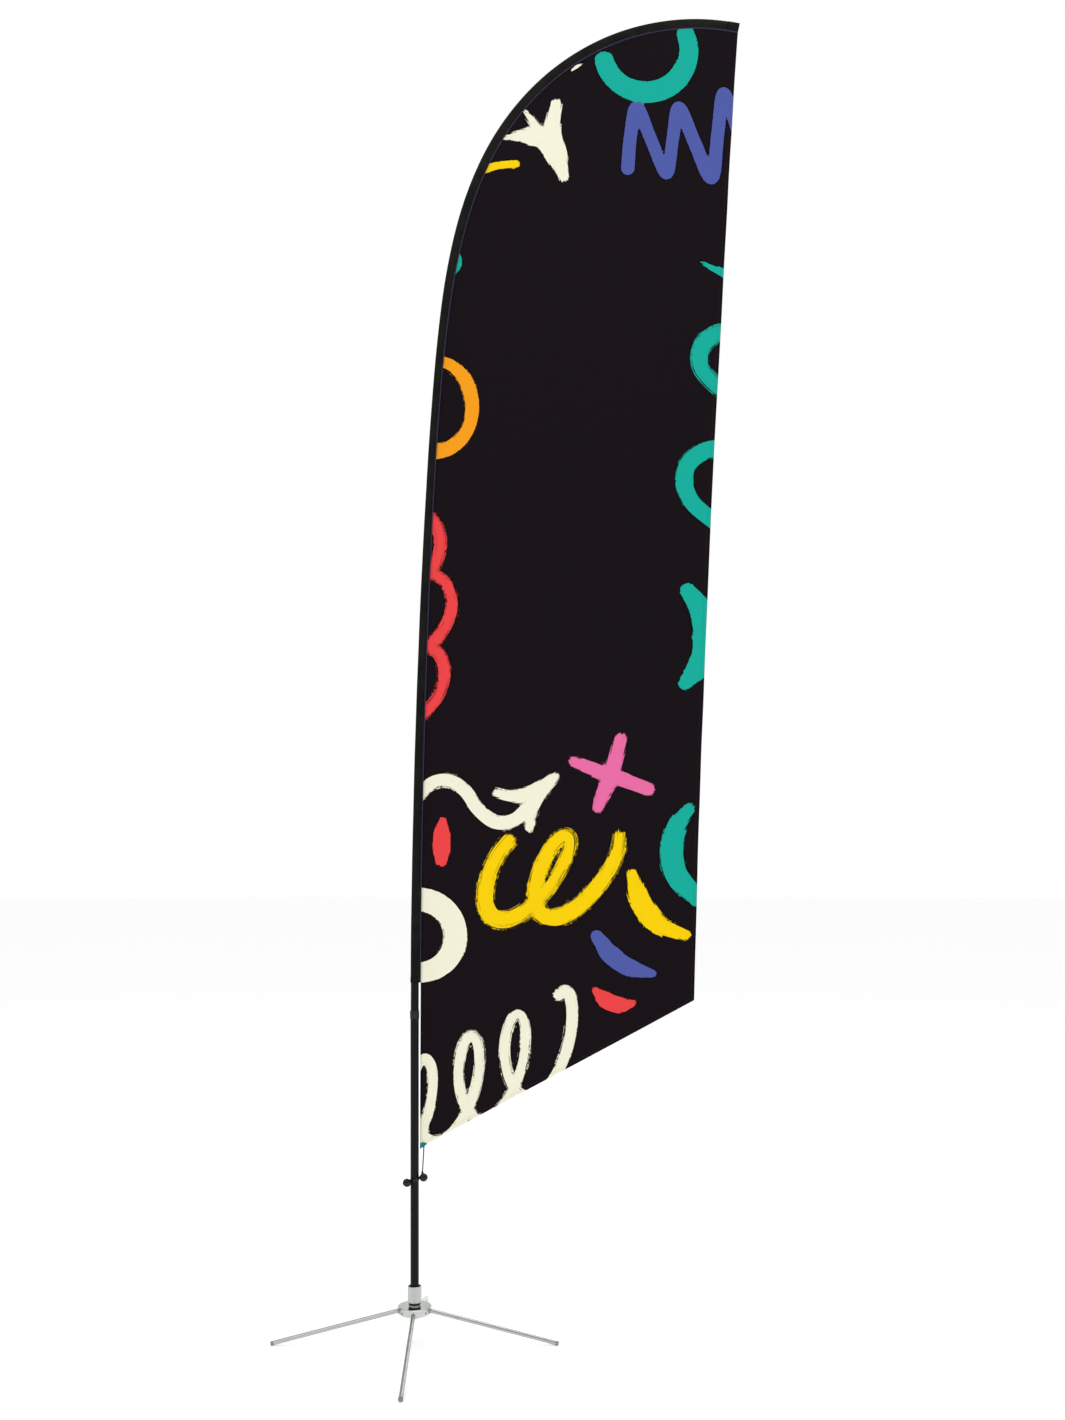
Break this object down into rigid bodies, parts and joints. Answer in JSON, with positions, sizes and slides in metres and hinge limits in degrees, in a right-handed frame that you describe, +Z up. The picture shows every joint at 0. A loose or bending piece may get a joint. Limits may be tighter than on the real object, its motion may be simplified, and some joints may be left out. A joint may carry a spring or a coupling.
{
  "type": "feather flag with pole",
  "caption": "Tall feather flag: curved pole in a cloth sleeve, printed flag, ball tensioner, and a turning socket on a chrome cross base with folding legs.",
  "frame": {"origin": "on the floor, under the middle of the whole object's box; the pole's axis stands at x = -0.2349, y = 0", "axes": "+Z up along the pole's straight foot, +X from the pole towards the flag's fly edge, the cloth in the plane y = 0"},
  "size_m": [1.223, 0.7522, 3.4542],
  "materials": {
    "chrome": "polished",
    "bearing_steel": "satin",
    "zinc_plate": "satin",
    "black_nylon": "satin",
    "grey_rubber": "matte",
    "black_pole": "satin",
    "black_alloy": "satin",
    "sleeve_fabric": "matte",
    "printed_flag_fabric": "matte",
    "seam_tape": "matte",
    "teal_webbing": "matte",
    "black_rubber": "satin",
    "cord_braid": "matte"
  },
  "bodies": {
    "base": {"base_hub": "chrome", "bearing_outer_ring": "bearing_steel", "leg_pin_right": "bearing_steel", "leg_pin_rear": "bearing_steel", "leg_pin_left": "bearing_steel", "leg_pin_front": "bearing_steel"},
    "leg_right": {"leg_right": "chrome", "foot_plug_right": "grey_rubber"},
    "leg_rear": {"leg_rear": "chrome", "foot_plug_rear": "grey_rubber"},
    "leg_left": {"leg_left": "chrome", "foot_plug_left": "grey_rubber"},
    "leg_front": {"leg_front": "chrome", "foot_plug_front": "grey_rubber"},
    "bearing_cage": {"bearing_ball_cage": "bearing_steel"},
    "rotor": {"spindle": "bearing_steel", "pole_socket": "chrome", "socket_bush": "black_nylon", "thrust_washer": "black_nylon", "bearing_inner_ring": "bearing_steel", "lock_washer": "zinc_plate", "lock_nut": "zinc_plate"},
    "mast": {"pole_section_1": "black_pole", "pole_section_2": "black_pole", "pole_section_3": "black_pole", "pole_section_4": "black_pole", "pole_coupler_1": "black_alloy", "pole_coupler_2": "black_alloy", "pole_coupler_3": "black_alloy", "pole_joint_ring": "black_alloy", "pole_tip_cap": "black_rubber", "sleeve_mouth_hem": "sleeve_fabric", "pole_sleeve": "sleeve_fabric", "tip_pocket": "sleeve_fabric", "sleeve_seam_tape": "seam_tape", "flag_cloth": "printed_flag_fabric", "corner_tab": "teal_webbing", "tension_cord": "cord_braid"},
    "tensioner": {"elastic_band": "black_rubber", "toggle_ball_left": "black_rubber", "toggle_ball_right": "black_rubber"}
  },
  "joints": [
    {"name": "leg_fold_right", "type": "hinge", "parent": "base", "child": "leg_right", "pos_m": [-0.20487, 0, 0.0935], "axis": [0, 1, 0], "range_deg": [0, 75.5]},
    {"name": "leg_fold_rear", "type": "hinge", "parent": "base", "child": "leg_rear", "pos_m": [-0.23487, 0.03, 0.0935], "axis": [-1, 0, 0], "range_deg": [0, 75.5]},
    {"name": "leg_fold_left", "type": "hinge", "parent": "base", "child": "leg_left", "pos_m": [-0.26487, 0, 0.0935], "axis": [0, -1, 0], "range_deg": [0, 75.5]},
    {"name": "leg_fold_front", "type": "hinge", "parent": "base", "child": "leg_front", "pos_m": [-0.23487, -0.03, 0.0935], "axis": [1, 0, 0], "range_deg": [0, 75.5]},
    {"name": "flag_turn", "type": "hinge", "parent": "base", "child": "rotor", "pos_m": [-0.23487, 0, 0.104], "axis": [0, 0, 1], "continuous": true},
    {"name": "cage_turn", "type": "hinge", "parent": "base", "child": "bearing_cage", "pos_m": [-0.23487, 0, 0.1023], "axis": [0, 0, 1], "continuous": true},
    {"name": "pole_lift", "type": "slide", "parent": "rotor", "child": "mast", "axis": [0, 0, 1], "range_m": [0, 0.145]},
    {"name": "tensioner_slide", "type": "slide", "parent": "mast", "child": "tensioner", "axis": [0, 0, 1], "range_m": [-0.04, 0.02], "deforming": ["tension_cord"]}
  ],
  "couplings": [
    {"joint": "cage_turn", "follows": "flag_turn", "ratio": 0.39}
  ]
}
